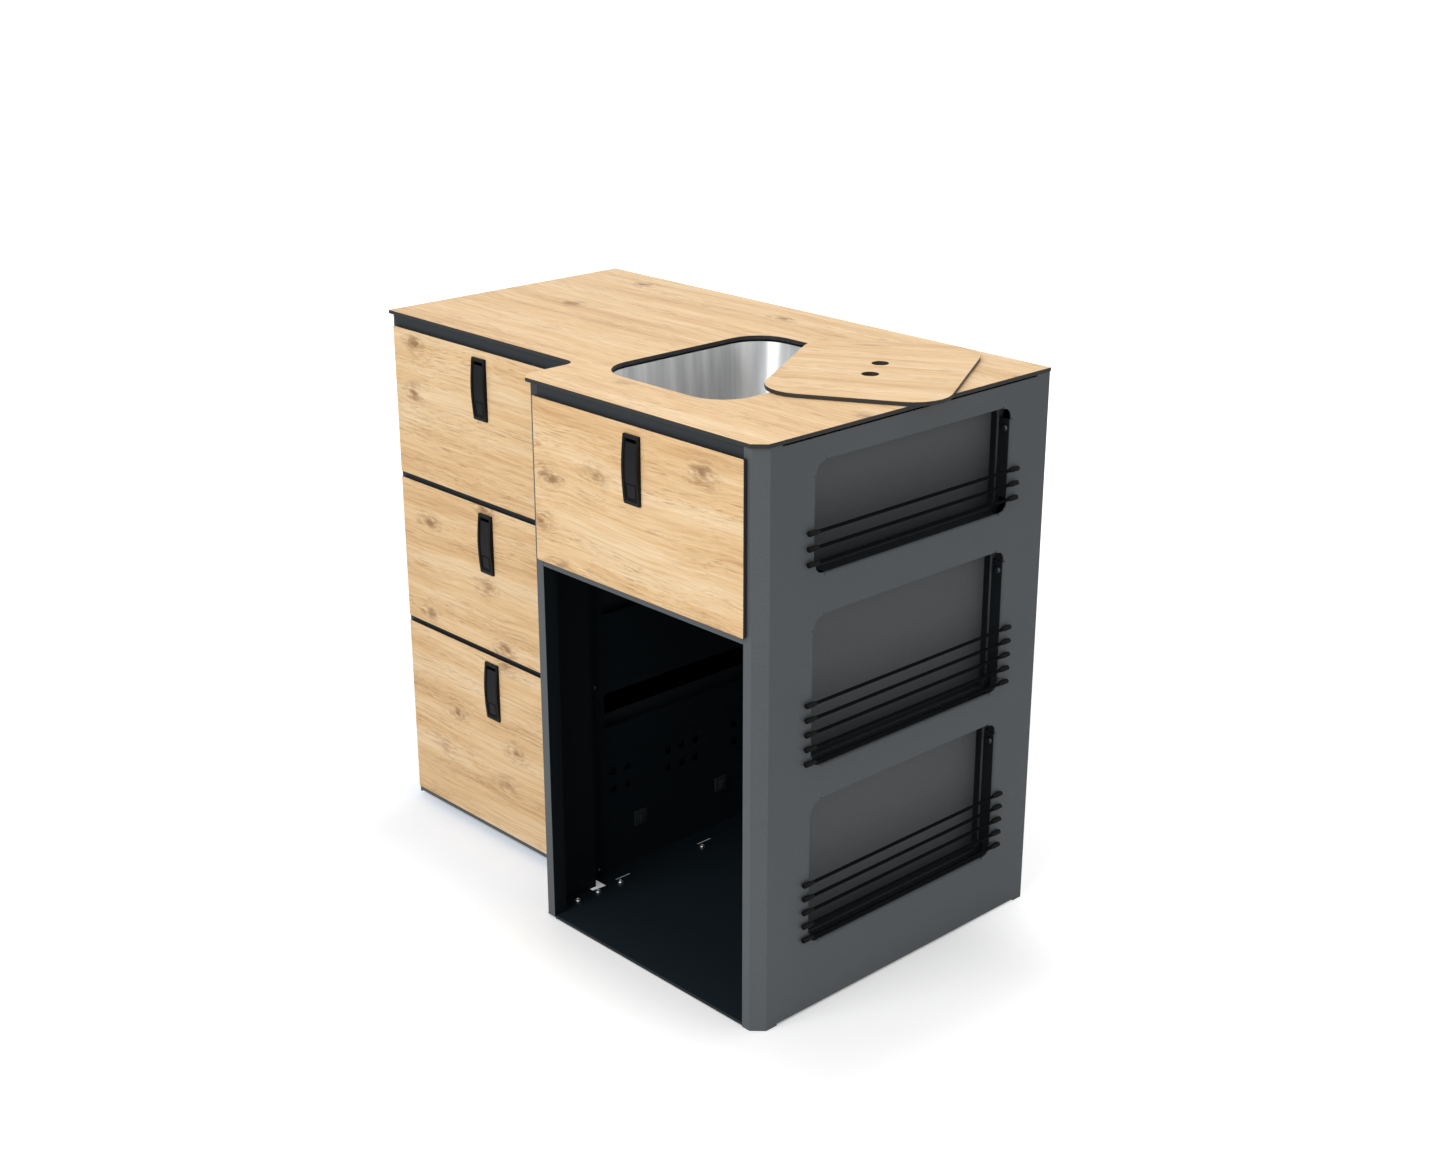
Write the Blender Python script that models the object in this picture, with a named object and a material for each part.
"""Campervan kitchen pod: a stepped sheet-metal cabinet with an oak worktop, four
drawers, a sink with a loose lid, a fridge bay and three cord-fronted side pockets.

Metres, +Z up. The places below are in the pod's own frame: X runs right along the
front from the worktop's left edge, Y runs back from the right block's worktop edge,
Z runs up from the floor. An empty moves all of it so that the origin lies at the
middle of the footprint, on the floor.
"""
import math
from collections import namedtuple

import bmesh
import bpy
from mathutils import Matrix, Vector

# overall sizes
POD_HEIGHT = 0.870
WORKTOP_LENGTH = 0.975
WORKTOP_DEPTH = 0.592
WORKTOP_T = 0.006
STEP_SETBACK = 0.108
STEP_SHARE = 0.490256
WORKTOP_CHAMFER = 0.017
STEP_FILLET = 0.018
FRONT_OVERHANG = 0.004
LEFT_OVERHANG = 0.007
RIGHT_OVERHANG = 0.001
BACK_OVERHANG = 0.001

# clearances, the overrun that every cutter has past the face it cuts, and how far
# pieces that are welded or screwed fast run into each other
SEAT = 0.0003
RUN = 0.0004
OVERRUN = 0.004
WELD = 0.0003

# sheet metal
SHEET = 0.002
THIN_SHEET = 0.0015
CORNER_FOLD = 0.017
FRONT_FLANGE = 0.015
POST_FLANGE = 0.016
FRONT_LIP = 0.024
REAR_FLANGE = 0.020

# right side panel: foot and head reliefs, pockets and their folded flanges
FOOT_RELIEF = 0.003
HEAD_RELIEF = 0.0025
FOOT_FRONT = 0.042
FOOT_REAR = 0.019
HEAD_FRONT = 0.043
HEAD_REAR = 0.029
POCKET_FRONT = 0.106
POCKET_REAR = 0.086
POCKET_LOW_SHARES = (0.76954, 0.44310, 0.12356)
POCKET_HEIGHT_SHARES = (0.18046, 0.25632, 0.25690)
POCKET_CORNER = 0.015
FLANGE_INSET = 0.019
FLANGE_BEND = 0.004
FLANGE_ROOT = 0.002
FLANGE_SKIN = 0.00002
BEND_RELIEF = 0.0015

# pans that close the pockets behind their flanges
PAN_RIM_DEPTH = 0.022
PAN_RIM = 0.010
PAN_STEP = 0.0045
PAN_DEPTH = 0.033
PAN_EAR_L = 0.016
PAN_EAR_INSET = 0.010
POCKET_SCREW_DEPTH = 0.010
POCKET_SCREW_DROP = 0.033

# elastic cords across the pockets
CORD_COUNTS = (3, 5, 5)
CORD_RISES = (0.0190, 0.0110, 0.0130)
CORD_PITCH = 0.022
CORD_D = 0.004
CORD_END_D = 0.0076
CORD_END_L = 0.0145
CORD_END_TAPER = 0.006
CORD_END_ROUND = 0.0012
CORD_OVERLAP = 0.018
CORD_PEG_D = 0.004
CORD_PEG_L = 0.0045
CORD_PEG_SET = 0.008

# left block: panel hem, base and rubber strips on the floor
LEFT_BASE_Z = 0.008
LEFT_FOOT_Z = 0.0055
BASE_FLANGE = 0.016
HEM_W = 0.0035
HEM_L = 0.012
STRIP_W = 0.024
STRIP_INSET = 0.045
STRIP_CHAMFER = 0.002

# bay wall, its cut-outs, and the front post beside it
BAY_WALL_SET = 0.016
BAND_Z = 0.005
POST_FOOT_Z = 0.0035
POST_LAP = 0.038
WINDOW_FRONT = 0.1605
WINDOW_REAR = 0.0965
WINDOW_GAP_SHARE = 0.3914
WINDOW_HEIGHT = 0.060
UPPER_WINDOW_DROP = 0.081
UPPER_WINDOW_HEIGHT = 0.067
WINDOW_CORNER = 0.003
SLOT_COUNT = 3
SLOT_FRONT = 0.151
SLOT_PITCH_SHARE = 0.30405
SLOT_L = 0.031
SLOT_W = 0.003
SLOT_SET = 0.014
RELIEF_FRONT = 0.012
RELIEF_BACK = 0.0155
RELIEF_LEFT = 0.014
RELIEF_RIGHT = 0.0125
RELIEF_NOSE = 0.0105

# service plate behind an opening of the bay wall
PLATE_GAP_SHARE = 0.4239
PLATE_HEIGHT = 0.069
PLATE_RIM = 0.011
SQUARE = 0.014
SQUARE_PITCH = 0.031
SQUARE_GROUPS = (2, 3, 2)
SQUARE_ROWS = 2
SQUARE_ROW_LOW = 0.0105
SQUARE_FRONT = 0.017

# cable tie bases on the bay wall
TIE_BASE = 0.026
TIE_BASE_T = 0.0025
TIE_BRIDGE_W = 0.010
TIE_BRIDGE_H = 0.004
TIE_TUNNEL_H = 0.0018
TIE_TUNNEL_W = 0.006
TIE_BASE_Z = 0.067
TIE_BASE_SHARES = (0.3699, 0.6740)

# bay floor plate and shelf
FLOOR_PLATE_SET = 0.042
FLOOR_PLATE_RISE = 0.002
FLOOR_LIP = 0.005
FLOOR_FLANGE = 0.022
SHELF_ABOVE_FRONT = 0.0035
SHELF_RAIL = 0.015
SHELF_FLANGE = 0.014
SHELF_EAR = 0.060
UPRIGHT_H = 0.061
UPRIGHT_FOOT = 0.012

# drawers: front plates, boxes and the rails between them
FRONT_T = 0.006
FRONT_GAP = 0.001
FRONT_EDGE = 0.008
LEFT_FRONT_END = 0.003
RIGHT_FRONT_LEFT = 0.0115
LEFT_FRONT_SHARES = (0.30449, 0.30635, 0.38916)
LEFT_FRONT_GAPS = (0.0095, 0.0090)
LEFT_FRONT_DROP = 0.023
LEFT_FRONT_FOOT = 0.0206
RIGHT_FRONT_DROP = 0.022
RIGHT_FRONT_BELOW_BOWL = 0.0975
FRONT_ROUND = 0.0015
RAIL_BELOW_TOP = 0.005
RAIL_ABOVE_GAP = 0.0045
RAIL_FLANGE = 0.022
BOX_WALL = 0.0012
BOX_LIFT = 0.0035
LEFT_BOX_REAR = 0.044
RIGHT_BOX_REAR = 0.132
RIGHT_BOX_INSET = 0.02575
BOX_BELOW_FRONT = 0.066
RIGHT_BOX_H = 0.082
NOTCH_W = 0.110
NOTCH_CLEAR = 0.006
NOTCH_CORNER = 0.012
WASTE_CLEAR = 0.009

# telescopic runners
RUNNER_W = 0.0127
RUNNER_H = 0.045
RUNNER_T = 0.0012
RUNNER_PLAY = 0.0008
RUNNER_FLANGE = 0.010
RUNNER_LIFT = 0.006
RUNNER_SHORTER = 0.020
RUNNER_SETBACK = 0.014

# handles with push button and latch tongue
HANDLE_W = 0.0335
HANDLE_H = 0.100
HANDLE_DROP = 0.0125
HANDLE_PROUD = 0.003
HANDLE_BOW = 0.0038
HANDLE_ROUND = 0.0015
CHANNEL_W = 0.0245
CHANNEL_DEEP = 0.0012
CHANNEL_END = 0.0055
FINGER_SLOT_W = 0.022
FINGER_SLOT_H = 0.0058
FINGER_HOLLOW_H = 0.030
FINGER_HOLLOW_DEEP = 0.012
GRIP_T = 0.0024
CASE_W = 0.0268
CASE_END = 0.0045
CASE_DEEP = 0.0185
BUTTON_W = 0.0215
BUTTON_H = 0.023
BUTTON_RISE = 0.0075
BUTTON_CORNER = 0.0035
BUTTON_REACH = 0.010
BUTTON_TRAVEL = 0.004
TONGUE_W = 0.012
TONGUE_T = 0.003
TONGUE_SET = 0.0134
TONGUE_L = 0.072
TONGUE_PROUD = 0.0054
TONGUE_CHAMFER = 0.0012
KEEPER_W = 0.016
KEEPER_L = 0.006

# sink
SINK_LEFT_SHARE = 0.1814
SINK_FRONT = 0.1035
SINK_W = 0.2685
SINK_L = 0.3365
SINK_CORNER = 0.060
SEAL_T = 0.0027
SEAL_W = 0.012
BOWL_WALL = 0.001
BOWL_RIM = 0.018
BOWL_DEPTH = 0.150
BOWL_DRAFT = 0.008
BOWL_FILLET = 0.028
BOWL_FALL = 0.003
DRAIN_SEAT_R = 0.042
DRAIN_R = 0.030
DRAIN_FLANGE_R = 0.038
DRAIN_FLANGE_T = 0.0015
DRAIN_DISH_R = 0.027
DRAIN_DISH = 0.006
DRAIN_NUT_R = 0.036
DRAIN_NUT_L = 0.010
DRAIN_BODY_R = 0.025
DRAIN_BODY_L = 0.014
DRAIN_TAIL_R = 0.020
DRAIN_TAIL_L = 0.036
DRAIN_BORE_R = 0.018
STRAINER_T = 0.0015
STRAINER_HOLE_R = 0.0025
STRAINER_RING_R = 0.010
STRAINER_HOLES = 6

# loose sink lid, lying askew on the worktop
LID_CLEARANCE = 0.001
LID_T = 0.006
LID_FROM_RIGHT = 0.1544
LID_FROM_BACK = 0.2094
LID_TURN = math.radians(30)
FINGER_HOLE_D = 0.0255
FINGER_HOLE_SPACING = 0.0648

# button-head screws
SCREW_R = 0.005
SCREW_H = 0.003
SCREW_CROWN = 0.0012
BAY_SCREW_SET = 0.0275
BAY_SCREW_FRONTS = (0.0265, 0.061, 0.103)
SLOT_SCREW_LEAD = 0.001
LAP_SCREW_SET = 0.029
LAP_SCREW_COUNT = 3
LAP_SCREW_FOOT = 0.015
LAP_SCREW_PITCH_SHARE = 0.37126

# facets of the round forms
ARC_STEPS = 6
SMALL_STEPS = 3
CORD_SIDES = 10
DRAIN_SIDES = 24
SCREW_SIDES = 10
HOLE_SIDES = 24
PEG_SIDES = 8
BOW_STEPS = 10

# places that follow from the sizes: across, then back, then up
STEP_LENGTH = WORKTOP_LENGTH * STEP_SHARE
LEFT_X = LEFT_OVERHANG
PANEL_X = WORKTOP_LENGTH - RIGHT_OVERHANG
PANEL_LIP_X = PANEL_X - CORNER_FOLD - FRONT_FLANGE
POST_X = STEP_LENGTH + LEFT_OVERHANG
POST_LIP_X = POST_X + CORNER_FOLD + POST_FLANGE
BAY_WALL_X = STEP_LENGTH - BAY_WALL_SET
WALL_LEFT_X = BAY_WALL_X - THIN_SHEET
SLOT_X = STEP_LENGTH + SLOT_SET
BAY_SCREW_X = STEP_LENGTH + BAY_SCREW_SET
FLOOR_PLATE_LEFT = STEP_LENGTH + FLOOR_PLATE_SET
BAND_RIGHT_X = FLOOR_PLATE_LEFT - SEAT
LEFT_FRONT_L = STEP_LENGTH - LEFT_OVERHANG - FRONT_EDGE - LEFT_FRONT_END
RIGHT_FRONT_L = PANEL_X - POST_X - 2 * CORNER_FOLD - RIGHT_FRONT_LEFT - FRONT_EDGE
RIGHT_BOX_W = RIGHT_FRONT_L - 2 * RIGHT_BOX_INSET
SINK_LEFT = POST_X + SINK_LEFT_SHARE * (PANEL_X - POST_X - SINK_W)
SINK_X = SINK_LEFT + SINK_W / 2
LID_X = WORKTOP_LENGTH - LID_FROM_RIGHT

RIGHT_FACE_Y = FRONT_OVERHANG
LEFT_FACE_Y = STEP_SETBACK + FRONT_OVERHANG
LIP_END_Y = RIGHT_FACE_Y + FRONT_LIP
WALL_FRONT_Y = LEFT_FACE_Y + SHEET + SEAT
BACK_Y = WORKTOP_DEPTH - BACK_OVERHANG
BACK_PANEL_Y = BACK_Y - SHEET - SEAT - THIN_SHEET
INNER_BACK_Y = BACK_PANEL_Y - SEAT
POCKET_LENGTH = WORKTOP_DEPTH - POCKET_FRONT - POCKET_REAR
WINDOW_LENGTH = WORKTOP_DEPTH - WINDOW_FRONT - WINDOW_REAR
SLOT_FRONTS = [SLOT_FRONT + i * SLOT_PITCH_SHARE * WORKTOP_DEPTH for i in range(SLOT_COUNT)]
TIE_BASE_FRONTS = [share * WORKTOP_DEPTH for share in TIE_BASE_SHARES]
LEFT_BOX_L = WORKTOP_DEPTH - STEP_SETBACK - LEFT_BOX_REAR
RIGHT_BOX_L = WORKTOP_DEPTH - RIGHT_BOX_REAR
RUNNER_L = LEFT_BOX_L - RUNNER_SHORTER
UPRIGHT_L = RIGHT_BOX_L - RUNNER_SHORTER
SINK_Y = SINK_FRONT + SINK_L / 2
LID_Y = WORKTOP_DEPTH - LID_FROM_BACK
LAP_SCREW_Y = LEFT_FACE_Y + LAP_SCREW_SET

SLAB_LOW = POD_HEIGHT - WORKTOP_T
CARCASS_TOP = SLAB_LOW - SEAT
LEFT_FRONTS_H = POD_HEIGHT - LEFT_FRONT_DROP - LEFT_FRONT_FOOT - sum(LEFT_FRONT_GAPS)
LEFT_FRONT_HEIGHTS = [share * LEFT_FRONTS_H for share in LEFT_FRONT_SHARES]
TOP_FRONT_LOW = POD_HEIGHT - LEFT_FRONT_DROP - LEFT_FRONT_HEIGHTS[0]
MIDDLE_FRONT_LOW = TOP_FRONT_LOW - LEFT_FRONT_GAPS[0] - LEFT_FRONT_HEIGHTS[1]
LEFT_FRONT_LOWS = (TOP_FRONT_LOW, MIDDLE_FRONT_LOW, LEFT_FRONT_FOOT)
RIGHT_FRONT_H = BOWL_DEPTH + RIGHT_FRONT_BELOW_BOWL
RIGHT_FRONT_LOW = POD_HEIGHT - RIGHT_FRONT_DROP - RIGHT_FRONT_H
SHELF_TOP = RIGHT_FRONT_LOW + SHELF_ABOVE_FRONT
SHELF_LOW = SHELF_TOP - SHEET
FLOOR_PLATE_Z = BAND_Z + FLOOR_PLATE_RISE
POCKET_LOWS = [share * POD_HEIGHT for share in POCKET_LOW_SHARES]
POCKET_HEIGHTS = [share * POD_HEIGHT for share in POCKET_HEIGHT_SHARES]
LOW_RUNNER_TOP = LEFT_FRONT_FOOT + RAIL_ABOVE_GAP + BOX_LIFT + RUNNER_LIFT + RUNNER_H
WALL_SPARE = MIDDLE_FRONT_LOW - LOW_RUNNER_TOP - PLATE_HEIGHT - WINDOW_HEIGHT
PLATE_LOW = LOW_RUNNER_TOP + PLATE_GAP_SHARE * WALL_SPARE
WINDOW_LOW = PLATE_LOW + PLATE_HEIGHT + WINDOW_GAP_SHARE * WALL_SPARE
UPPER_WINDOW_LOW = TOP_FRONT_LOW - UPPER_WINDOW_DROP - UPPER_WINDOW_HEIGHT
LAP_SCREW_PITCH = LAP_SCREW_PITCH_SHARE * POD_HEIGHT
BOWL_TOP = SLAB_LOW - SEAT - SEAL_T - SEAT
DRAIN_Z = BOWL_TOP - BOWL_DEPTH - BOWL_FALL

LEVELS = ("top", "middle", "bottom")
Drawer = namedtuple("Drawer", "name x y z width height box_x box_width box_height box_length")


# outlines in a plane

def arc(x, y, radius, start, end, steps):
    """Points along an arc; the angles are in quarter turns."""
    turns = [start + (end - start) * i / steps for i in range(steps + 1)]
    return [(x + radius * math.cos(turn * math.pi / 2), y + radius * math.sin(turn * math.pi / 2))
            for turn in turns]


def rectangle(x0, y0, x1, y1):
    return [(x0, y0), (x1, y0), (x1, y1), (x0, y1)]


def rounded(x0, y0, x1, y1, radius, steps=ARC_STEPS):
    """A rectangle with round corners, from the upper right corner's start, counter-clockwise."""
    outline = []
    centres = ((x1 - radius, y1 - radius), (x0 + radius, y1 - radius),
               (x0 + radius, y0 + radius), (x1 - radius, y0 + radius))
    for quarter, (x, y) in enumerate(centres):
        outline += arc(x, y, radius, quarter, quarter + 1, steps)
    return outline


def circle(x, y, radius, sides):
    """A polygon whose points start half a step past the X direction."""
    turns = [(i + 0.5) / sides * math.tau for i in range(sides)]
    return [(x + radius * math.cos(turn), y + radius * math.sin(turn)) for turn in turns]


def shifted(path, distance, closed=False):
    """The path moved to its left by a distance, with mitred corners."""
    points = [Vector(point) for point in path]
    count = len(points)
    result = []
    for i, point in enumerate(points):
        ways = []
        if closed or i > 0:
            ways.append((point - points[i - 1]).normalized())
        if closed or i < count - 1:
            ways.append((points[(i + 1) % count] - point).normalized())
        lefts = [Vector((-way.y, way.x)) for way in ways]
        mitre = sum(lefts, Vector((0, 0))).normalized()
        result.append(tuple(point + mitre * (distance / mitre.dot(lefts[0]))))
    return result


def folded(path, thickness):
    """The outline of a folded sheet whose one face follows the path."""
    return list(path) + shifted(path, thickness)[::-1]


# solids as meshes

def closed_mesh(shape):
    """The mesh of a bmesh, with its faces pointing out."""
    bmesh.ops.recalc_face_normals(shape, faces=shape.faces)
    mesh = bpy.data.meshes.new("shape")
    shape.to_mesh(mesh)
    shape.free()
    return mesh


def prism(outline, axis, start, end):
    """An outline swept along X (outline in Y, Z), Y (in X, Z) or Z (in X, Y)."""
    spread = {"X": lambda u, v: (start, u, v), "Y": lambda u, v: (u, start, v),
              "Z": lambda u, v: (u, v, start)}
    way = {"X": Vector((1, 0, 0)), "Y": Vector((0, 1, 0)), "Z": Vector((0, 0, 1))}
    shape = bmesh.new()
    corners = [shape.verts.new(spread[axis](u, v)) for u, v in outline]
    base = shape.faces.new(corners)
    swept = bmesh.ops.extrude_face_region(shape, geom=[base])
    moved = [item for item in swept["geom"] if isinstance(item, bmesh.types.BMVert)]
    bmesh.ops.translate(shape, verts=moved, vec=way[axis] * (end - start))
    bmesh.ops.reverse_faces(shape, faces=[base])
    return closed_mesh(shape)


def block(x0, y0, z0, x1, y1, z1):
    return prism(rectangle(x0, y0, x1, y1), "Z", z0, z1)


def loft(rings, looped=False):
    """A solid through rings of equal count; it is capped, or the last ring meets the first."""
    shape = bmesh.new()
    loops = [[shape.verts.new(point) for point in ring] for ring in rings]
    pairs = list(zip(loops, loops[1:]))
    if looped:
        pairs.append((loops[-1], loops[0]))
    else:
        shape.faces.new(loops[0])
        shape.faces.new(loops[-1])
    for lower, upper in pairs:
        for i in range(len(lower)):
            following = (i + 1) % len(lower)
            shape.faces.new((lower[i], lower[following], upper[following], upper[i]))
    return closed_mesh(shape)


def turned(profile, sides):
    """A profile of (radius, height) points, from axis to axis, spun about Z."""
    shape = bmesh.new()
    points = [shape.verts.new((radius, 0, height)) for radius, height in profile]
    edges = [shape.edges.new(pair) for pair in zip(points, points[1:])]
    bmesh.ops.spin(shape, geom=points + edges, axis=(0, 0, 1), cent=(0, 0, 0), angle=math.tau,
                   steps=sides, use_merge=True)
    bmesh.ops.remove_doubles(shape, verts=shape.verts, dist=SEAT / 100)
    return closed_mesh(shape)


def moved(mesh, x=0, y=0, z=0, turn=0, axis="Z"):
    """A copy of a mesh, turned about an axis through its origin and then shifted."""
    copy = mesh.copy()
    copy.transform(Matrix.Translation((x, y, z)) @ Matrix.Rotation(turn, 4, axis))
    return copy


def grouped(meshes):
    """Separate solids that share one mesh."""
    shape = bmesh.new()
    for mesh in meshes:
        shape.from_mesh(mesh)
    mesh = bpy.data.meshes.new("group")
    shape.to_mesh(mesh)
    shape.free()
    return mesh


def combined(base, tool, operation):
    """The mesh that a Boolean of two meshes gives."""
    body = bpy.data.objects.new("body", base)
    other = bpy.data.objects.new("tool", tool)
    for item in (body, other):
        bpy.context.scene.collection.objects.link(item)
    change = body.modifiers.new("Boolean", "BOOLEAN")
    change.operation = operation
    change.object = other
    evaluated = body.evaluated_get(bpy.context.evaluated_depsgraph_get())
    result = bpy.data.meshes.new_from_object(evaluated)
    bpy.data.objects.remove(body)
    bpy.data.objects.remove(other)
    return result


def cut(base, *tools):
    for tool in tools:
        base = combined(base, tool, "DIFFERENCE")
    return base


def joined(base, *others):
    for other in others:
        base = combined(base, other, "UNION")
    return base


# objects and materials

def srgb(code):
    """A linear colour from a hex code."""
    values = [int(code[i:i + 2], 16) / 255 for i in (0, 2, 4)]
    return [v / 12.92 if v <= 0.04045 else ((v + 0.055) / 1.055) ** 2.4 for v in values] + [1]


def material(name, code, roughness, metallic=0.0):
    made = bpy.data.materials.get(name)
    if made is None:
        made = bpy.data.materials.new(name)
        made.use_nodes = True
        shader = made.node_tree.nodes["Principled BSDF"]
        shader.inputs["Base Color"].default_value = srgb(code)
        shader.inputs["Roughness"].default_value = roughness
        shader.inputs["Metallic"].default_value = metallic
    return made


def oak():
    return material("oak_laminate", "E6C795", 0.45)


def grey_coat():
    return material("grey_powder_coat", "5B5F62", 0.5)


def dark_coat():
    return material("dark_powder_coat", "1B2023", 0.5)


def black_plastic():
    return material("black_plastic", "1E1F22", 0.45)


def steel():
    return material("bright_steel", "C4C6C8", 0.3, 1.0)


def zinc():
    return material("zinc_plated_steel", "8E9296", 0.4, 1.0)


def rubber():
    return material("black_rubber", "17181A", 0.8)


def place(name, mesh, finish, parent, location=(0, 0, 0), turn=0, smooth=False):
    """One named part of the pod, on its parent."""
    part = bpy.data.objects.new(name, mesh)
    bpy.context.scene.collection.objects.link(part)
    part.location = location
    part.rotation_euler.z = turn
    part.parent = parent
    mesh.materials.clear()
    mesh.materials.append(finish)
    if smooth:
        mesh.shade_smooth()
        mesh.set_sharp_from_angle(angle=math.radians(35))
    return part


def empty(name, location, parent=None):
    holder = bpy.data.objects.new(name, None)
    bpy.context.scene.collection.objects.link(holder)
    holder.location = location
    holder.parent = parent
    return holder


def screw_head():
    """A button head standing on z = 0, sunk by the weld into the sheet below."""
    profile = [(0, SCREW_H), (SCREW_R - SCREW_CROWN, SCREW_H), (SCREW_R, SCREW_H - SCREW_CROWN),
               (SCREW_R, -WELD), (0, -WELD)]
    return turned(profile, SCREW_SIDES)


# worktop, lid and sink

def sink_outline(spread):
    return rounded(SINK_LEFT - spread, SINK_FRONT - spread, SINK_LEFT + SINK_W + spread,
                   SINK_FRONT + SINK_L + spread, SINK_CORNER + spread)


def worktop(pod):
    corner = arc(STEP_LENGTH - STEP_FILLET, STEP_SETBACK - STEP_FILLET, STEP_FILLET, 1, 0, ARC_STEPS)
    outline = [(0, STEP_SETBACK)] + corner + [
        (STEP_LENGTH, WORKTOP_CHAMFER), (STEP_LENGTH + WORKTOP_CHAMFER, 0),
        (WORKTOP_LENGTH - WORKTOP_CHAMFER, 0), (WORKTOP_LENGTH, WORKTOP_CHAMFER),
        (WORKTOP_LENGTH, WORKTOP_DEPTH), (0, WORKTOP_DEPTH)]
    slab = prism(outline, "Z", SLAB_LOW, POD_HEIGHT)
    hole = prism(sink_outline(0), "Z", SLAB_LOW - OVERRUN, POD_HEIGHT + OVERRUN)
    place("worktop", cut(slab, hole), oak(), pod)


def sink_lid(pod):
    half_w = SINK_W / 2 - LID_CLEARANCE
    half_l = SINK_L / 2 - LID_CLEARANCE
    plate = prism(rounded(-half_w, -half_l, half_w, half_l, SINK_CORNER - LID_CLEARANCE), "Z", 0, LID_T)
    for side in (-1, 1):
        hole = circle(0, side * FINGER_HOLE_SPACING / 2, FINGER_HOLE_D / 2, HOLE_SIDES)
        plate = cut(plate, prism(hole, "Z", -OVERRUN, LID_T + OVERRUN))
    place("sink_lid", plate, oak(), pod, (LID_X, LID_Y, POD_HEIGHT + SEAT), LID_TURN)


def sink_seal(pod):
    top = SLAB_LOW - SEAT
    inner, outer = sink_outline(0), sink_outline(SEAL_W)
    rings = [[(x, y, z) for x, y in outline]
             for outline, z in ((outer, top), (inner, top), (inner, top - SEAL_T), (outer, top - SEAL_T))]
    place("sink_seal", loft(rings, looped=True), rubber(), pod)


def bowl_surface(wall):
    """Rings down one side of the bowl's sheet; wall is 0 inside and the sheet outside."""
    rings = [(sink_outline(wall), BOWL_TOP - wall)]
    bottom = BOWL_TOP - BOWL_DEPTH
    for i in range(ARC_STEPS):
        turn = i / (ARC_STEPS - 1) * math.pi / 2
        inset = BOWL_DRAFT + BOWL_FILLET * (1 - math.cos(turn)) - wall * math.cos(turn)
        height = bottom + BOWL_FILLET * (1 - math.sin(turn)) - wall * math.sin(turn)
        rings.append((sink_outline(-inset), height))
    count = len(rings[0][0])
    rings.append((circle(SINK_X, SINK_Y, DRAIN_SEAT_R, count), DRAIN_Z - wall))
    rings.append((circle(SINK_X, SINK_Y, DRAIN_R, count), DRAIN_Z - wall))
    return [[(x, y, z) for x, y in outline] for outline, z in rings]


def sink_bowl(pod):
    rim = sink_outline(BOWL_RIM)
    upper = [(x, y, BOWL_TOP) for x, y in rim]
    lower = [(x, y, BOWL_TOP - BOWL_WALL) for x, y in rim]
    rings = [upper] + bowl_surface(0) + bowl_surface(BOWL_WALL)[::-1] + [lower]
    place("sink_bowl", loft(rings, looped=True), steel(), pod, smooth=True)


def sink_waste(pod):
    top = SEAT + DRAIN_FLANGE_T
    strainer = top - DRAIN_DISH
    nut = -BOWL_WALL - SEAT
    body = nut - DRAIN_NUT_L
    tail = body - DRAIN_BODY_L
    end = tail - DRAIN_TAIL_L
    profile = [(0, strainer), (DRAIN_BORE_R, strainer), (DRAIN_DISH_R, top), (DRAIN_FLANGE_R, top),
               (DRAIN_FLANGE_R, SEAT), (DRAIN_R - SEAT, SEAT), (DRAIN_R - SEAT, nut), (DRAIN_NUT_R, nut),
               (DRAIN_NUT_R, body), (DRAIN_BODY_R, body), (DRAIN_BODY_R, tail), (DRAIN_TAIL_R, tail),
               (DRAIN_TAIL_R, end), (DRAIN_BORE_R, end), (DRAIN_BORE_R, strainer - STRAINER_T),
               (0, strainer - STRAINER_T)]
    fitting = turned(profile, DRAIN_SIDES)
    places = [(0, 0)] + circle(0, 0, STRAINER_RING_R, STRAINER_HOLES)
    holes = [prism(circle(x, y, STRAINER_HOLE_R, PEG_SIDES), "Z", strainer - STRAINER_T - OVERRUN,
                   strainer + OVERRUN) for x, y in places]
    place("sink_waste", cut(fitting, grouped(holes)), steel(), pod, (SINK_X, SINK_Y, DRAIN_Z), smooth=True)


# right side panel with its pockets

def pocket_bounds(index, spread=0):
    low = POCKET_LOWS[index]
    return (POCKET_FRONT - spread, low - spread, POCKET_FRONT + POCKET_LENGTH + spread,
            low + POCKET_HEIGHTS[index] + spread)


def pocket_flange(length):
    """A flange with its bend at z = 0, folded in from the panel's edge, centred along Y.

    It is thinner than the sheet by a skin on each side, so that no two faces share a plane.
    """
    reach = PAN_RIM_DEPTH - SEAT
    bend = arc(-FLANGE_BEND, -FLANGE_BEND, FLANGE_BEND - FLANGE_SKIN, 0, 1, SMALL_STEPS)
    path = [(-FLANGE_SKIN, -FLANGE_BEND - FLANGE_ROOT)] + bend + [(-reach, -FLANGE_SKIN)]
    section = folded(path, SHEET - 2 * FLANGE_SKIN)
    half = length / 2
    return prism(section, "Y", -half, half)


def pocket_cuts(index):
    """The pocket's opening, widened where its flanges bend, with a relief at each bend's end."""
    y0, z0, y1, z1 = pocket_bounds(index)
    wide = FLANGE_INSET - BEND_RELIEF
    inner, outer = PANEL_X - SHEET - OVERRUN, PANEL_X + OVERRUN
    opening = prism(rounded(y0, z0, y1, z1, POCKET_CORNER, SMALL_STEPS), "X", inner, outer)
    upright = prism(rectangle(y0 + wide, z0 - FLANGE_BEND, y1 - wide, z1 + FLANGE_BEND), "X", inner, outer)
    level = prism(rectangle(y0 - FLANGE_BEND, z0 + wide, y1 + FLANGE_BEND, z1 - wide), "X", inner, outer)
    return joined(opening, upright, level)


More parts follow.
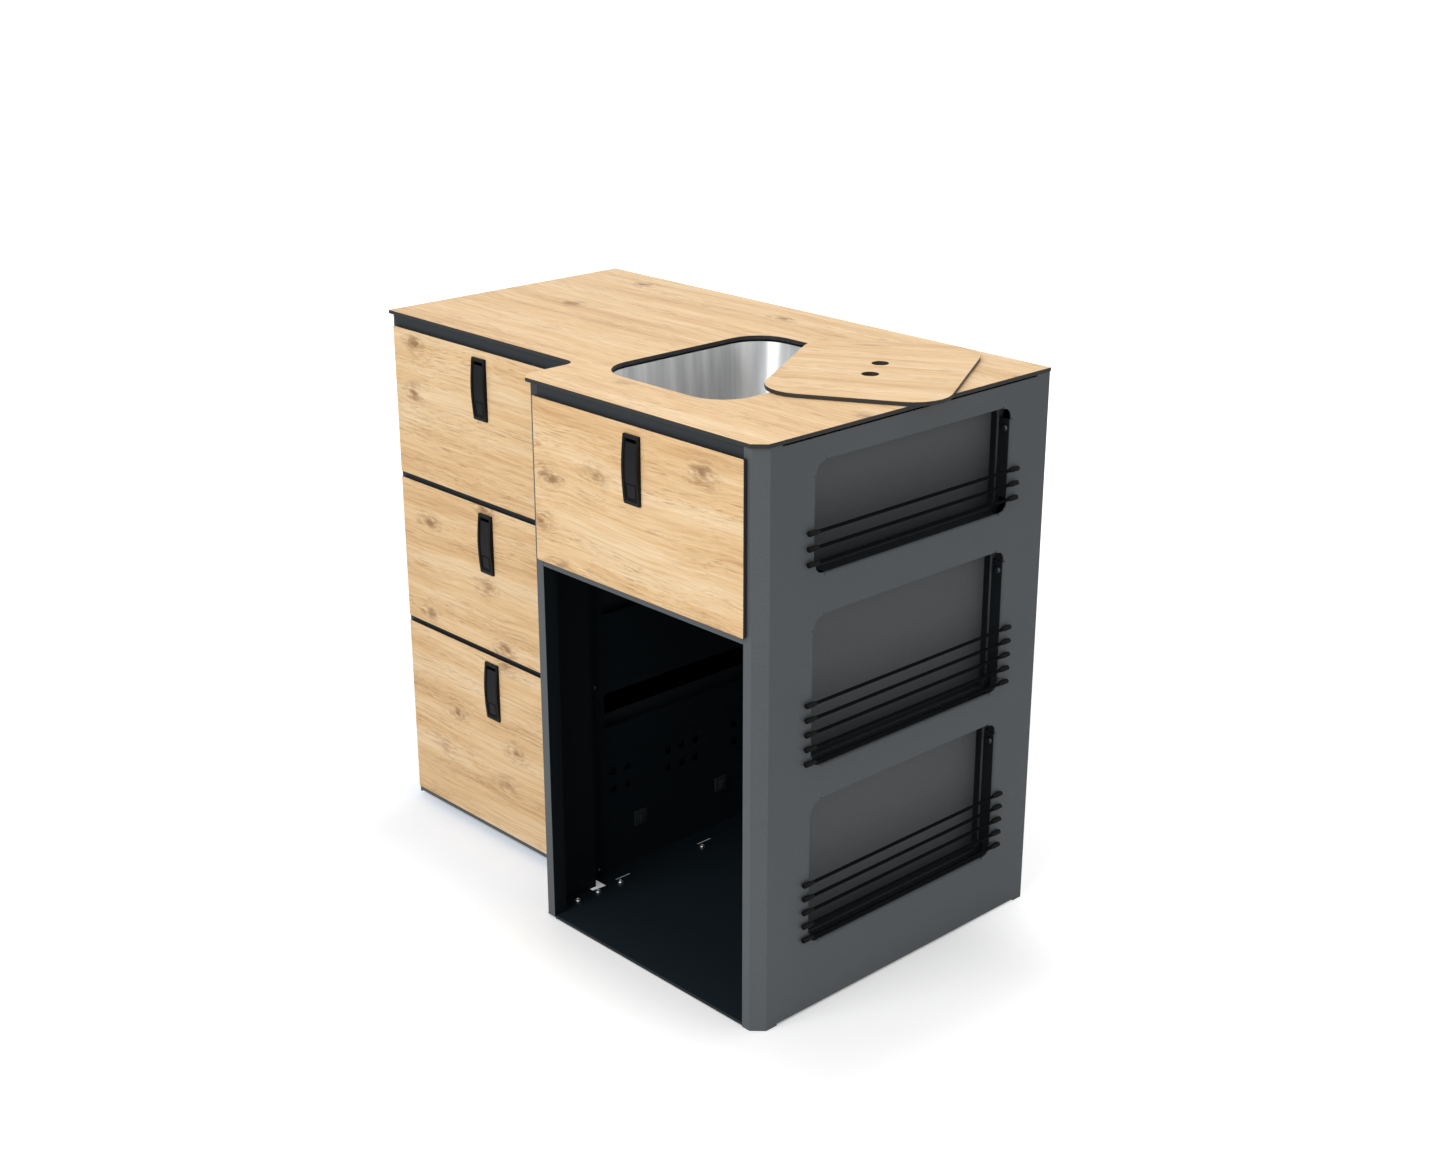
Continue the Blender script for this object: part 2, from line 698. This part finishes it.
def pocket_flanges(index):
    y0, z0, y1, z1 = pocket_bounds(index)
    middle_y, middle_z = (y0 + y1) / 2, (z0 + z1) / 2
    long = pocket_flange(y1 - y0 - 2 * FLANGE_INSET)
    short = pocket_flange(z1 - z0 - 2 * FLANGE_INSET)
    return [moved(long, PANEL_X, middle_y, z0), moved(long, PANEL_X, middle_y, z1, math.pi, "X"),
            moved(short, PANEL_X, y0, middle_z, -math.pi / 2, "X"),
            moved(short, PANEL_X, y1, middle_z, math.pi / 2, "X")]


def pocket_screw_places():
    """Places and turns of the screws in the front and back flanges of each pocket."""
    places = []
    for index in range(len(POCKET_LOWS)):
        y0, _, y1, z1 = pocket_bounds(index)
        for y, turn in ((y0, -math.pi / 2), (y1, math.pi / 2)):
            places.append((PANEL_X - POCKET_SCREW_DEPTH, y, z1 - POCKET_SCREW_DROP, turn))
    return places


def cord_places(index):
    low = POCKET_LOWS[index] + CORD_RISES[index]
    return [low + step * CORD_PITCH for step in range(CORD_COUNTS[index])]


def right_side_panel(pod):
    path = [(PANEL_LIP_X, LIP_END_Y), (PANEL_LIP_X, RIGHT_FACE_Y), (PANEL_X - CORNER_FOLD, RIGHT_FACE_Y),
            (PANEL_X, RIGHT_FACE_Y + CORNER_FOLD), (PANEL_X, BACK_Y), (PANEL_X - REAR_FLANGE, BACK_Y)]
    panel = prism(folded(path, SHEET), "Z", 0, CARCASS_TOP)
    inner, outer = PANEL_X - SHEET - SEAT, PANEL_X + OVERRUN
    above = CARCASS_TOP + OVERRUN
    foot = block(inner, FOOT_FRONT, -OVERRUN, outer, BACK_Y - FOOT_REAR, FOOT_RELIEF)
    head = block(inner, HEAD_FRONT, CARCASS_TOP - HEAD_RELIEF, outer, BACK_Y - HEAD_REAR, above)
    panel = cut(panel, grouped([foot, head]))
    for index in range(len(POCKET_LOWS)):
        panel = joined(cut(panel, pocket_cuts(index)), grouped(pocket_flanges(index)))
    heads = [moved(screw_head(), x, y, z, turn, "X") for x, y, z, turn in pocket_screw_places()]
    panel = joined(panel, grouped(heads))
    peg_ys = [end + side * (CORD_OVERLAP - CORD_PEG_SET)
              for end, side in ((POCKET_FRONT, -1), (POCKET_FRONT + POCKET_LENGTH, 1))]
    holes = []
    for index in range(len(POCKET_LOWS)):
        for z in cord_places(index):
            outlines = [circle(y, z, CORD_PEG_D / 2 + SEAT, PEG_SIDES) for y in peg_ys]
            holes += [prism(outline, "X", inner - OVERRUN, outer) for outline in outlines]
    place("right_side_panel", cut(panel, grouped(holes)), grey_coat(), pod)


def pocket_pan(pod, index, name):
    """A pan with a flat rim behind the flanges, and an ear past each end flange."""
    def ring(spread, corner, depth):
        y0, z0, y1, z1 = pocket_bounds(index, spread)
        return [(PANEL_X - depth, y, z) for y, z in rounded(y0, z0, y1, z1, corner, SMALL_STEPS)]
    corner = POCKET_CORNER - PAN_STEP
    outside = THIN_SHEET
    rings = [ring(-PAN_STEP, corner, PAN_DEPTH), ring(-PAN_STEP, corner, PAN_RIM_DEPTH),
             ring(PAN_RIM, corner, PAN_RIM_DEPTH), ring(PAN_RIM, corner, PAN_RIM_DEPTH + outside),
             ring(outside - PAN_STEP, corner + outside, PAN_RIM_DEPTH + outside),
             ring(outside - PAN_STEP, corner + outside, PAN_DEPTH + outside)]
    pan = loft(rings)
    y0, z0, y1, z1 = pocket_bounds(index)
    inset = FLANGE_INSET + PAN_EAR_INSET
    rim = PANEL_X - PAN_RIM_DEPTH
    for edge, side in ((y0, -1), (y1, 1)):
        near = edge + side * (SHEET + SEAT)
        far = near + side * THIN_SHEET
        front, rear = min(near, far), max(near, far)
        ear = block(rim - THIN_SHEET / 2, front, z0 + inset, rim + PAN_EAR_L, rear, z1 - inset)
        pan = joined(pan, ear)
    place(name, pan, grey_coat(), pod)


def cord():
    """One elastic cord along Y from its front tip, with a moulded end and a peg at each end."""
    length = POCKET_LENGTH + 2 * CORD_OVERLAP
    wide, thin = CORD_END_D / 2, CORD_D / 2
    front = [(0, 0), (wide - CORD_END_ROUND, 0), (wide, CORD_END_ROUND), (wide, CORD_END_L),
             (thin, CORD_END_L + CORD_END_TAPER)]
    profile = front + [(radius, length - along) for radius, along in front[::-1]]
    strand = moved(turned(profile, CORD_SIDES), turn=-math.pi / 2, axis="X")
    reach = wide + SEAT + CORD_PEG_L
    for along in (CORD_PEG_SET, length - CORD_PEG_SET):
        strand = joined(strand, prism(circle(along, 0, CORD_PEG_D / 2, PEG_SIDES), "X", -reach, 0))
    return strand


def pocket_cords(pod):
    strand = cord()
    x, y = PANEL_X + SEAT + CORD_END_D / 2, POCKET_FRONT - CORD_OVERLAP
    for index, level in enumerate(LEVELS):
        for number, z in enumerate(cord_places(index), start=1):
            place(f"pocket_cord_{level}_{number}", strand, rubber(), pod, (x, y, z), smooth=True)


# bay: post, wall, service plate, floor plate and shelf

def post_path():
    wall = BAY_WALL_X + SEAT
    return [(POST_LIP_X, LIP_END_Y), (POST_LIP_X, RIGHT_FACE_Y), (POST_X + CORNER_FOLD, RIGHT_FACE_Y),
            (POST_X, RIGHT_FACE_Y + CORNER_FOLD), (POST_X, LEFT_FACE_Y), (wall, LEFT_FACE_Y),
            (wall, LEFT_FACE_Y + POST_LAP)]


def bay_front_post(pod):
    post = prism(folded(post_path(), -SHEET), "Z", POST_FOOT_Z, CARCASS_TOP)
    lap_end = LEFT_FACE_Y + POST_LAP + OVERRUN
    foot = block(BAY_WALL_X - OVERRUN, LEFT_FACE_Y - OVERRUN, 0, POST_X - SEAT, lap_end, BAND_Z + SEAT)
    lap_x = BAY_WALL_X + SEAT + SHEET
    heights = [LAP_SCREW_FOOT + i * LAP_SCREW_PITCH for i in range(LAP_SCREW_COUNT)]
    heads = [moved(screw_head(), lap_x, LAP_SCREW_Y, z, math.pi / 2, "Y") for z in heights]
    place("bay_front_post", joined(cut(post, foot), grouped(heads)), grey_coat(), pod)


def window(low, height, spread=0):
    return rounded(WINDOW_FRONT - spread, low - spread, WINDOW_FRONT + WINDOW_LENGTH + spread,
                   low + height + spread, WINDOW_CORNER, SMALL_STEPS)


def bay_wall(pod, drawers):
    """The wall with its band along the floor, its screws and the left drawers' outer runners."""
    section = folded([(BAY_WALL_X, CARCASS_TOP), (BAY_WALL_X, BAND_Z), (BAND_RIGHT_X, BAND_Z)], -THIN_SHEET)
    wall = prism(section, "Y", WALL_FRONT_Y, INNER_BACK_Y)
    inside = shifted(post_path()[:5], -SHEET - SEAT)
    inside[0] = (inside[0][0], LIP_END_Y + SEAT)
    inside[-1] = (inside[-1][0], WALL_FRONT_Y + OVERRUN)
    band = inside + [(BAND_RIGHT_X, WALL_FRONT_Y + OVERRUN), (BAND_RIGHT_X, LIP_END_Y + SEAT)]
    wall = joined(wall, prism(band, "Z", BAND_Z - THIN_SHEET, BAND_Z))
    openings = [(WINDOW_LOW, WINDOW_HEIGHT), (UPPER_WINDOW_LOW, UPPER_WINDOW_HEIGHT),
                (PLATE_LOW, PLATE_HEIGHT)]
    through = (WALL_LEFT_X - OVERRUN, BAY_WALL_X + OVERRUN)
    cuts = [prism(window(low, height), "X", *through) for low, height in openings]
    below, above = BAND_Z - THIN_SHEET - OVERRUN, BAND_Z + OVERRUN
    for front in SLOT_FRONTS:
        slot = rectangle(SLOT_X - SLOT_W / 2, front, SLOT_X + SLOT_W / 2, front + SLOT_L)
        cuts.append(prism(slot, "Z", below, above))
    front, back = LEFT_FACE_Y - RELIEF_FRONT, LEFT_FACE_Y + RELIEF_BACK
    relief = [(POST_X, front), (POST_X + RELIEF_NOSE, front), (POST_X + RELIEF_RIGHT, back),
              (POST_X - RELIEF_LEFT, back)]
    cuts.append(prism(relief, "Z", below, above))
    screw_ys = list(BAY_SCREW_FRONTS) + [front - SLOT_SCREW_LEAD for front in SLOT_FRONTS]
    heads = [moved(screw_head(), BAY_SCREW_X, y, BAND_Z) for y in screw_ys]
    wall = joined(cut(wall, grouped(cuts)), grouped(heads + left_runners(drawers, -1)))
    place("bay_wall", wall, dark_coat(), pod)


def square_columns():
    """Centres of the plate's holes along Y, in groups."""
    steps = sum(SQUARE_GROUPS) - len(SQUARE_GROUPS)
    gap = (WINDOW_LENGTH - 2 * SQUARE_FRONT - steps * SQUARE_PITCH) / (len(SQUARE_GROUPS) - 1)
    centres = []
    y = WINDOW_FRONT + SQUARE_FRONT
    for count in SQUARE_GROUPS:
        centres += [y + step * SQUARE_PITCH for step in range(count)]
        y = centres[-1] + gap
    return centres


def service_plate(pod):
    right = WALL_LEFT_X - SEAT
    plate = prism(window(PLATE_LOW, PLATE_HEIGHT, PLATE_RIM), "X", right - THIN_SHEET, right)
    holes = []
    for y in square_columns():
        for row in range(SQUARE_ROWS):
            z = PLATE_LOW + SQUARE_ROW_LOW + row * SQUARE_PITCH
            outline = rectangle(y - SQUARE / 2, z - SQUARE / 2, y + SQUARE / 2, z + SQUARE / 2)
            holes.append(prism(outline, "X", right - THIN_SHEET - OVERRUN, right + OVERRUN))
    place("service_plate", cut(plate, grouped(holes)), dark_coat(), pod)


def cable_tie_bases(pod):
    """Square bases with a bridge that a cable tie passes under."""
    middle = TIE_BASE / 2
    base = prism(rectangle(0, 0, TIE_BASE, TIE_BASE), "X", 0, TIE_BASE_T)
    bridge = prism(rectangle(middle - TIE_BRIDGE_W / 2, middle - TIE_BRIDGE_W / 2, middle + TIE_BRIDGE_W / 2,
                             middle + TIE_BRIDGE_W / 2), "X", TIE_BASE_T / 2, TIE_BASE_T + TIE_BRIDGE_H)
    tunnel = block(TIE_BASE_T, middle - TIE_BRIDGE_W, middle - TIE_TUNNEL_W / 2, TIE_BASE_T + TIE_TUNNEL_H,
                   middle + TIE_BRIDGE_W, middle + TIE_TUNNEL_W / 2)
    base = cut(joined(base, bridge), tunnel)
    for side, y in zip(("front", "back"), TIE_BASE_FRONTS):
        place("cable_tie_base_" + side, base, black_plastic(), pod, (BAY_WALL_X + SEAT, y, TIE_BASE_Z))


def bay_floor_plate(pod):
    """A plate with a front lip, a flange up the panel, and a joggled flange under the wall's band."""
    under = BAND_Z - THIN_SHEET - SEAT
    right = PANEL_X - SHEET - SEAT
    path = [(FLOOR_PLATE_LEFT - FLOOR_FLANGE, under), (FLOOR_PLATE_LEFT, under),
            (FLOOR_PLATE_LEFT, FLOOR_PLATE_Z), (right - SHEET, FLOOR_PLATE_Z),
            (right - SHEET, FLOOR_PLATE_Z + FLOOR_FLANGE)]
    plate = prism(folded(path, -SHEET), "Y", RIGHT_FACE_Y, INNER_BACK_Y)
    lip_x = PANEL_LIP_X - SEAT
    by_lip = block(lip_x, -OVERRUN, 0, PANEL_X, LIP_END_Y + SEAT, FLOOR_PLATE_Z + FLOOR_FLANGE + OVERRUN)
    by_post = block(FLOOR_PLATE_LEFT - FLOOR_FLANGE - OVERRUN, -OVERRUN, 0, FLOOR_PLATE_LEFT,
                    RIGHT_FACE_Y + SHEET + SEAT, under + SEAT)
    plate = cut(plate, grouped([by_lip, by_post]))
    lip = block(FLOOR_PLATE_LEFT, RIGHT_FACE_Y, FLOOR_PLATE_Z - FLOOR_LIP, lip_x, RIGHT_FACE_Y + SHEET,
                FLOOR_PLATE_Z)
    place("bay_floor_plate", joined(plate, lip), dark_coat(), pod)


def bay_shelf(pod):
    """The shelf under the right drawer, with a rail at the front and flanges at the walls."""
    wall = BAY_WALL_X + SEAT
    beside_lap = wall + SHEET + SEAT
    beside_post = POST_X + SHEET + SEAT
    left, right = POST_LIP_X + SEAT, PANEL_LIP_X - SEAT
    lip_end = LIP_END_Y + SEAT
    lap_end = LEFT_FACE_Y + POST_LAP + SEAT
    beside_pan = PANEL_X - PAN_DEPTH - THIN_SHEET - SEAT
    panel = PANEL_X - SHEET - SEAT
    front_ear, back_ear = lip_end + SHELF_EAR, INNER_BACK_Y - SHELF_EAR
    outline = [(left, RIGHT_FACE_Y), (right, RIGHT_FACE_Y), (right, lip_end), (panel, lip_end),
               (panel, front_ear), (beside_pan, front_ear), (beside_pan, back_ear), (panel, back_ear),
               (panel, INNER_BACK_Y),
               (wall, INNER_BACK_Y), (wall, lap_end), (beside_lap, lap_end), (beside_lap, WALL_FRONT_Y),
               (beside_post, WALL_FRONT_Y), (beside_post, lip_end), (left, lip_end)]
    sheet = prism(outline, "Z", SHELF_LOW, SHELF_TOP)
    low = SHELF_TOP - SHELF_FLANGE
    flanges = [block(left, RIGHT_FACE_Y, SHELF_TOP - SHELF_RAIL, right, RIGHT_FACE_Y + SHEET, SHELF_TOP),
               block(wall, lap_end, low, wall + SHEET, INNER_BACK_Y, SHELF_TOP),
               block(panel - SHEET, lip_end, low, panel, front_ear, SHELF_TOP),
               block(panel - SHEET, back_ear, low, panel, INNER_BACK_Y, SHELF_TOP)]
    place("bay_shelf", joined(sheet, grouped(flanges)), grey_coat(), pod)


def runner_uprights(pod, drawer):
    """Angles on the shelf, each with an outer runner of the right drawer."""
    foot_top = SHELF_TOP + SEAT + THIN_SHEET
    top = SHELF_TOP + SEAT + UPRIGHT_H
    start = RIGHT_FACE_Y + RUNNER_SETBACK
    for name, side in (("left", 1), ("right", -1)):
        face = drawer.x + runner_back(drawer, side)
        path = [(face, top), (face, foot_top), (face + side * UPRIGHT_FOOT, foot_top)]
        angle = prism(folded(path, -side * THIN_SHEET), "Y", start, start + UPRIGHT_L)
        place("runner_upright_" + name, joined(angle, outer_runner(drawer, side)), zinc(), pod)


# left block, back and rails

def left_side_panel(pod, drawers):
    """The side sheet with a hem in front, a flange behind and the drawers' outer runners."""
    hem = LEFT_X + HEM_W
    inside = LEFT_X + SHEET
    hem_end = LEFT_FACE_Y + HEM_L
    flange_end = inside + REAR_FLANGE
    outline = [(LEFT_X, LEFT_FACE_Y), (hem, LEFT_FACE_Y), (hem, hem_end), (inside, hem_end),
               (inside, BACK_Y - SHEET), (flange_end, BACK_Y - SHEET), (flange_end, BACK_Y), (LEFT_X, BACK_Y)]
    panel = prism(outline, "Z", LEFT_FOOT_Z, CARCASS_TOP)
    lift = block(LEFT_X - OVERRUN, LEFT_FACE_Y + HEM_L, 0, inside + REAR_FLANGE + OVERRUN, BACK_Y + OVERRUN,
                 LEFT_BASE_Z)
    panel = joined(cut(panel, lift), grouped(left_runners(drawers, 1)))
    place("left_side_panel", panel, grey_coat(), pod)


def left_base_panel(pod):
    top = LEFT_BASE_Z + BASE_FLANGE
    path = [(LEFT_FACE_Y, top), (LEFT_FACE_Y, LEFT_BASE_Z), (INNER_BACK_Y, LEFT_BASE_Z), (INNER_BACK_Y, top)]
    left = LEFT_X + SHEET + SEAT
    base = prism(folded(path, SHEET), "X", left, WALL_LEFT_X - SEAT)
    by_hem = block(left - OVERRUN, LEFT_FACE_Y - OVERRUN, 0, LEFT_X + HEM_W + SEAT,
                   LEFT_FACE_Y + HEM_L + SEAT, top + OVERRUN)
    place("left_base_panel", cut(base, by_hem), grey_coat(), pod)


def foot_strips(pod):
    """Rubber strips that the left block stands on, set back out of sight."""
    half = STRIP_W / 2
    tall = LEFT_BASE_Z - SEAT
    section = [(-half, tall), (-half, STRIP_CHAMFER), (STRIP_CHAMFER - half, 0), (half - STRIP_CHAMFER, 0),
               (half, STRIP_CHAMFER), (half, tall)]
    strip = prism(section, "X", LEFT_X + STRIP_INSET, WALL_LEFT_X - STRIP_INSET)
    for name, y in (("front", LEFT_FACE_Y + STRIP_INSET), ("back", INNER_BACK_Y - STRIP_INSET)):
        place("foot_strip_" + name, strip, rubber(), pod, (0, y, 0))


def back_panel(pod):
    panel = block(LEFT_X + SHEET + SEAT, BACK_PANEL_Y, LEFT_BASE_Z, PANEL_X - SHEET - SEAT,
                  BACK_PANEL_Y + THIN_SHEET, CARCASS_TOP)
    place("back_panel", panel, grey_coat(), pod)


def rail(pod, name, x0, x1, high, drawer):
    """A channel above a drawer's front edge, with a slot in its lower flange for the latch tongue."""
    low = drawer.z + drawer.height - RAIL_BELOW_TOP
    face = drawer.y + FRONT_T + FRONT_GAP
    back = face + RAIL_FLANGE
    channel = prism(folded([(back, high), (face, high), (face, low), (back, low)], SHEET), "X", x0, x1)
    x = drawer.x + drawer.width / 2
    y = drawer.y + TONGUE_SET + TONGUE_T / 2
    slot = block(x - KEEPER_W / 2, y - KEEPER_L / 2, low - OVERRUN, x + KEEPER_W / 2, y + KEEPER_L / 2,
                 low + SHEET + OVERRUN)
    place(name, cut(channel, slot), dark_coat(), pod)


def rails(pod, drawers):
    left, right = LEFT_X + HEM_W + SEAT, WALL_LEFT_X - SEAT
    upper, middle, lower = drawers["left_top"], drawers["left_middle"], drawers["left_bottom"]
    rail(pod, "fascia_left", left, right, CARCASS_TOP, upper)
    rail(pod, "cross_rail_upper", left, right, upper.z + RAIL_ABOVE_GAP, middle)
    rail(pod, "cross_rail_lower", left, right, middle.z + RAIL_ABOVE_GAP, lower)
    rail(pod, "fascia_right", POST_LIP_X + SEAT, PANEL_LIP_X - SEAT, CARCASS_TOP, drawers["right"])


# runners: a channel on the cabinet and a channel on the drawer's box inside it

def runner_back(drawer, side):
    """The face along X that a runner stands on, left (1) or right (-1) of the drawer's box."""
    return drawer.box_x - RUNNER_W if side > 0 else drawer.box_x + drawer.box_width + RUNNER_W


def runner_channel(x, side, inset, reach):
    """A channel on its back at x, opening to a side, inset from the runner's full height."""
    low = RAIL_ABOVE_GAP + BOX_LIFT + RUNNER_LIFT + inset
    high = low + RUNNER_H - 2 * inset
    start = FRONT_T + FRONT_GAP + RUNNER_SETBACK
    path = [(x + side * reach, high), (x, high), (x, low), (x + side * reach, low)]
    return prism(folded(path, side * RUNNER_T), "Y", start, start + RUNNER_L)


def outer_runner(drawer, side):
    """The cabinet's channel, in the pod's frame."""
    channel = runner_channel(runner_back(drawer, side) - side * WELD, side, 0, RUNNER_FLANGE)
    return moved(channel, drawer.x, drawer.y, drawer.z)


def inner_runner(drawer, side):
    """The box's channel, in the drawer's frame."""
    nest = RUNNER_T + RUNNER_PLAY
    back = runner_back(drawer, side) + side * (RUNNER_W + WELD)
    return runner_channel(back, -side, nest, RUNNER_W + WELD - nest)


def left_runners(drawers, side):
    return [outer_runner(drawer, side) for name, drawer in drawers.items() if name != "right"]


# handle: housing, button and tongue, from the handle's foot on the front's face

def bow_points(inset, low, high):
    """Points up the handle's bowed front, set back by an inset."""
    inner = [HANDLE_H * i / BOW_STEPS for i in range(1, BOW_STEPS)]
    heights = [low] + [z for z in inner if low < z < high] + [high]
    return [(inset - HANDLE_PROUD - HANDLE_BOW * math.sin(math.pi * z / HANDLE_H), z) for z in heights]


def bow_cutter(inset, low, high, width, y):
    """A solid between the bow, set back by an inset, and a plane at y."""
    return prism(bow_points(inset, low, high) + [(y, high), (y, low)], "X", -width / 2, width / 2)


def button_outline(spread):
    x, low, high = BUTTON_W / 2 + spread, BUTTON_RISE - spread, BUTTON_RISE + BUTTON_H + spread
    radius = BUTTON_CORNER + spread
    return ([(x, high), (-x, high)] + arc(radius - x, low + radius, radius, 2, 3, SMALL_STEPS)
            + arc(x - radius, low + radius, radius, 3, 4, SMALL_STEPS))


def tongue_low():
    return HANDLE_H + TONGUE_PROUD - TONGUE_L


def handle_housing():
    far = -HANDLE_PROUD - HANDLE_BOW - OVERRUN
    slot_top = HANDLE_H - CHANNEL_END
    half = HANDLE_W / 2
    bezel = bow_cutter(0, 0, HANDLE_H, HANDLE_W, -SEAT)
    outline = rounded(-half, 0, half, HANDLE_H, HANDLE_ROUND, SMALL_STEPS)
    bezel = combined(bezel, prism(outline, "Y", far, OVERRUN), "INTERSECT")
    case = block(-CASE_W / 2, -HANDLE_PROUD / 2, CASE_END, CASE_W / 2, CASE_DEEP, HANDLE_H - CASE_END)
    channel = bow_cutter(CHANNEL_DEEP, CHANNEL_END, slot_top, CHANNEL_W, far)
    hollow = bow_cutter(CHANNEL_DEEP + GRIP_T, slot_top - FINGER_HOLLOW_H, slot_top, FINGER_SLOT_W,
                        FINGER_HOLLOW_DEEP)
    slot = block(-FINGER_SLOT_W / 2, far, slot_top - FINGER_SLOT_H, FINGER_SLOT_W / 2, 0, slot_top)
    pocket = prism(button_outline(RUN), "Y", far, BUTTON_REACH + BUTTON_TRAVEL + RUN)
    guide = block(-TONGUE_W / 2 - RUN, TONGUE_SET - RUN, tongue_low() - RUN, TONGUE_W / 2 + RUN,
                  TONGUE_SET + TONGUE_T + RUN, HANDLE_H)
    return cut(joined(bezel, case), channel, hollow, slot, pocket, guide)


def handle_button():
    far = -HANDLE_PROUD - HANDLE_BOW - OVERRUN
    button = prism(button_outline(0), "Y", -HANDLE_PROUD - HANDLE_BOW, BUTTON_REACH)
    return cut(button, bow_cutter(CHANNEL_DEEP, 0, HANDLE_H, HANDLE_W, far))


def latch_tongue():
    half = TONGUE_W / 2
    section = [(0, 0), (TONGUE_T, 0), (TONGUE_T, TONGUE_L), (TONGUE_CHAMFER, TONGUE_L),
               (0, TONGUE_L - TONGUE_CHAMFER)]
    return prism(section, "X", -half, half)


# drawers

def front_plate(drawer):
    plate = prism(rounded(0, 0, drawer.width, drawer.height, FRONT_ROUND, SMALL_STEPS), "Y", 0, FRONT_T)
    x = drawer.width / 2
    half = CASE_W / 2 + SEAT
    foot = drawer.height - HANDLE_DROP - HANDLE_H
    hole = rectangle(x - half, foot + CASE_END - SEAT, x + half, foot + HANDLE_H - CASE_END + SEAT)
    return cut(plate, prism(hole, "Y", -OVERRUN, FRONT_T + OVERRUN))


def drawer_box(drawer, round_waste):
    """An open box behind the front, cut out for the handle's case or round the sink's waste,
    with its inner runners.
    """
    x0, x1 = drawer.box_x, drawer.box_x + drawer.box_width
    y0 = FRONT_T + SEAT
    y1 = y0 + drawer.box_length
    low = RAIL_ABOVE_GAP + BOX_LIFT
    high = low + drawer.box_height
    outline = [(x0, y0), (x1, y0), (x1, y1)]
    if round_waste:
        x, y = SINK_X - drawer.x, SINK_Y - drawer.y
        radius = DRAIN_NUT_R + WASTE_CLEAR
        outline += [(x + radius, y1)] + arc(x, y, radius, 0, -2, 2 * ARC_STEPS) + [(x - radius, y1)]
    outline.append((x0, y1))
    inner = prism(shifted(outline, BOX_WALL, closed=True), "Z", low + BOX_WALL, high + OVERRUN)
    box = cut(prism(outline, "Z", low, high), inner)
    case_low = drawer.height - HANDLE_DROP - HANDLE_H + CASE_END - NOTCH_CLEAR
    if case_low < high:
        x = drawer.width / 2
        half = NOTCH_W / 2
        notch = rounded(x - half, case_low, x + half, high + half, NOTCH_CORNER, SMALL_STEPS)
        box = cut(box, prism(notch, "Y", y0 - OVERRUN, y0 + BOX_WALL + OVERRUN))
    return joined(box, grouped([inner_runner(drawer, side) for side in (1, -1)]))


def all_drawers():
    left_y = LEFT_FACE_Y - FRONT_GAP - FRONT_T
    left_x = LEFT_X + FRONT_EDGE
    box_x = LEFT_X + SHEET + RUNNER_W
    box_width = WALL_LEFT_X - RUNNER_W - box_x
    drawers = {}
    for level, low, height in zip(LEVELS, LEFT_FRONT_LOWS, LEFT_FRONT_HEIGHTS):
        name = "left_" + level
        drawers[name] = Drawer(name, left_x, left_y, low, LEFT_FRONT_L, height, box_x - left_x, box_width,
                               height - BOX_BELOW_FRONT, LEFT_BOX_L)
    right_x = POST_X + CORNER_FOLD + RIGHT_FRONT_LEFT
    right_y = RIGHT_FACE_Y - FRONT_GAP - FRONT_T
    drawers["right"] = Drawer("right", right_x, right_y, RIGHT_FRONT_LOW, RIGHT_FRONT_L, RIGHT_FRONT_H,
                              RIGHT_BOX_INSET, RIGHT_BOX_W, RIGHT_BOX_H, RIGHT_BOX_L)
    return drawers


def drawer_parts(pod, drawers):
    housing, button, tongue = handle_housing(), handle_button(), latch_tongue()
    for name, drawer in drawers.items():
        holder = empty("drawer_" + name, (drawer.x, drawer.y, drawer.z), pod)
        place("drawer_front_" + name, front_plate(drawer), oak(), holder)
        place("drawer_box_" + name, drawer_box(drawer, name == "right"), grey_coat(), holder)
        foot = (drawer.width / 2, 0, drawer.height - HANDLE_DROP - HANDLE_H)
        handle = empty("handle_" + name, foot, holder)
        place("handle_housing_" + name, housing.copy(), black_plastic(), handle)
        place("handle_button_" + name, button.copy(), black_plastic(), handle)
        place("latch_tongue_" + name, tongue.copy(), zinc(), handle, (0, TONGUE_SET, tongue_low()))


def footprint_middle(drawers):
    """The middle of the whole pod's footprint, the lid and the handles included."""
    radius = SINK_CORNER - LID_CLEARANCE
    half_w, half_l = SINK_W / 2 - LID_CLEARANCE - radius, SINK_L / 2 - LID_CLEARANCE - radius
    lid_right = LID_X + radius + half_w * math.cos(LID_TURN) + half_l * math.sin(LID_TURN)
    front = drawers["right"].y - HANDLE_PROUD - HANDLE_BOW
    return max(WORKTOP_LENGTH, lid_right) / 2, (front + WORKTOP_DEPTH) / 2


def main():
    for item in list(bpy.data.objects):
        bpy.data.objects.remove(item)
    drawers = all_drawers()
    x, y = footprint_middle(drawers)
    pod = empty("pod", (-x, -y, 0))
    for build in (worktop, sink_lid, sink_seal, sink_bowl, sink_waste, right_side_panel, pocket_cords,
                  bay_front_post, service_plate, cable_tie_bases, bay_floor_plate, bay_shelf,
                  left_base_panel, foot_strips, back_panel):
        build(pod)
    for index, level in enumerate(LEVELS):
        pocket_pan(pod, index, "pocket_pan_" + level)
    bay_wall(pod, drawers)
    left_side_panel(pod, drawers)
    rails(pod, drawers)
    runner_uprights(pod, drawers["right"])
    drawer_parts(pod, drawers)


main()
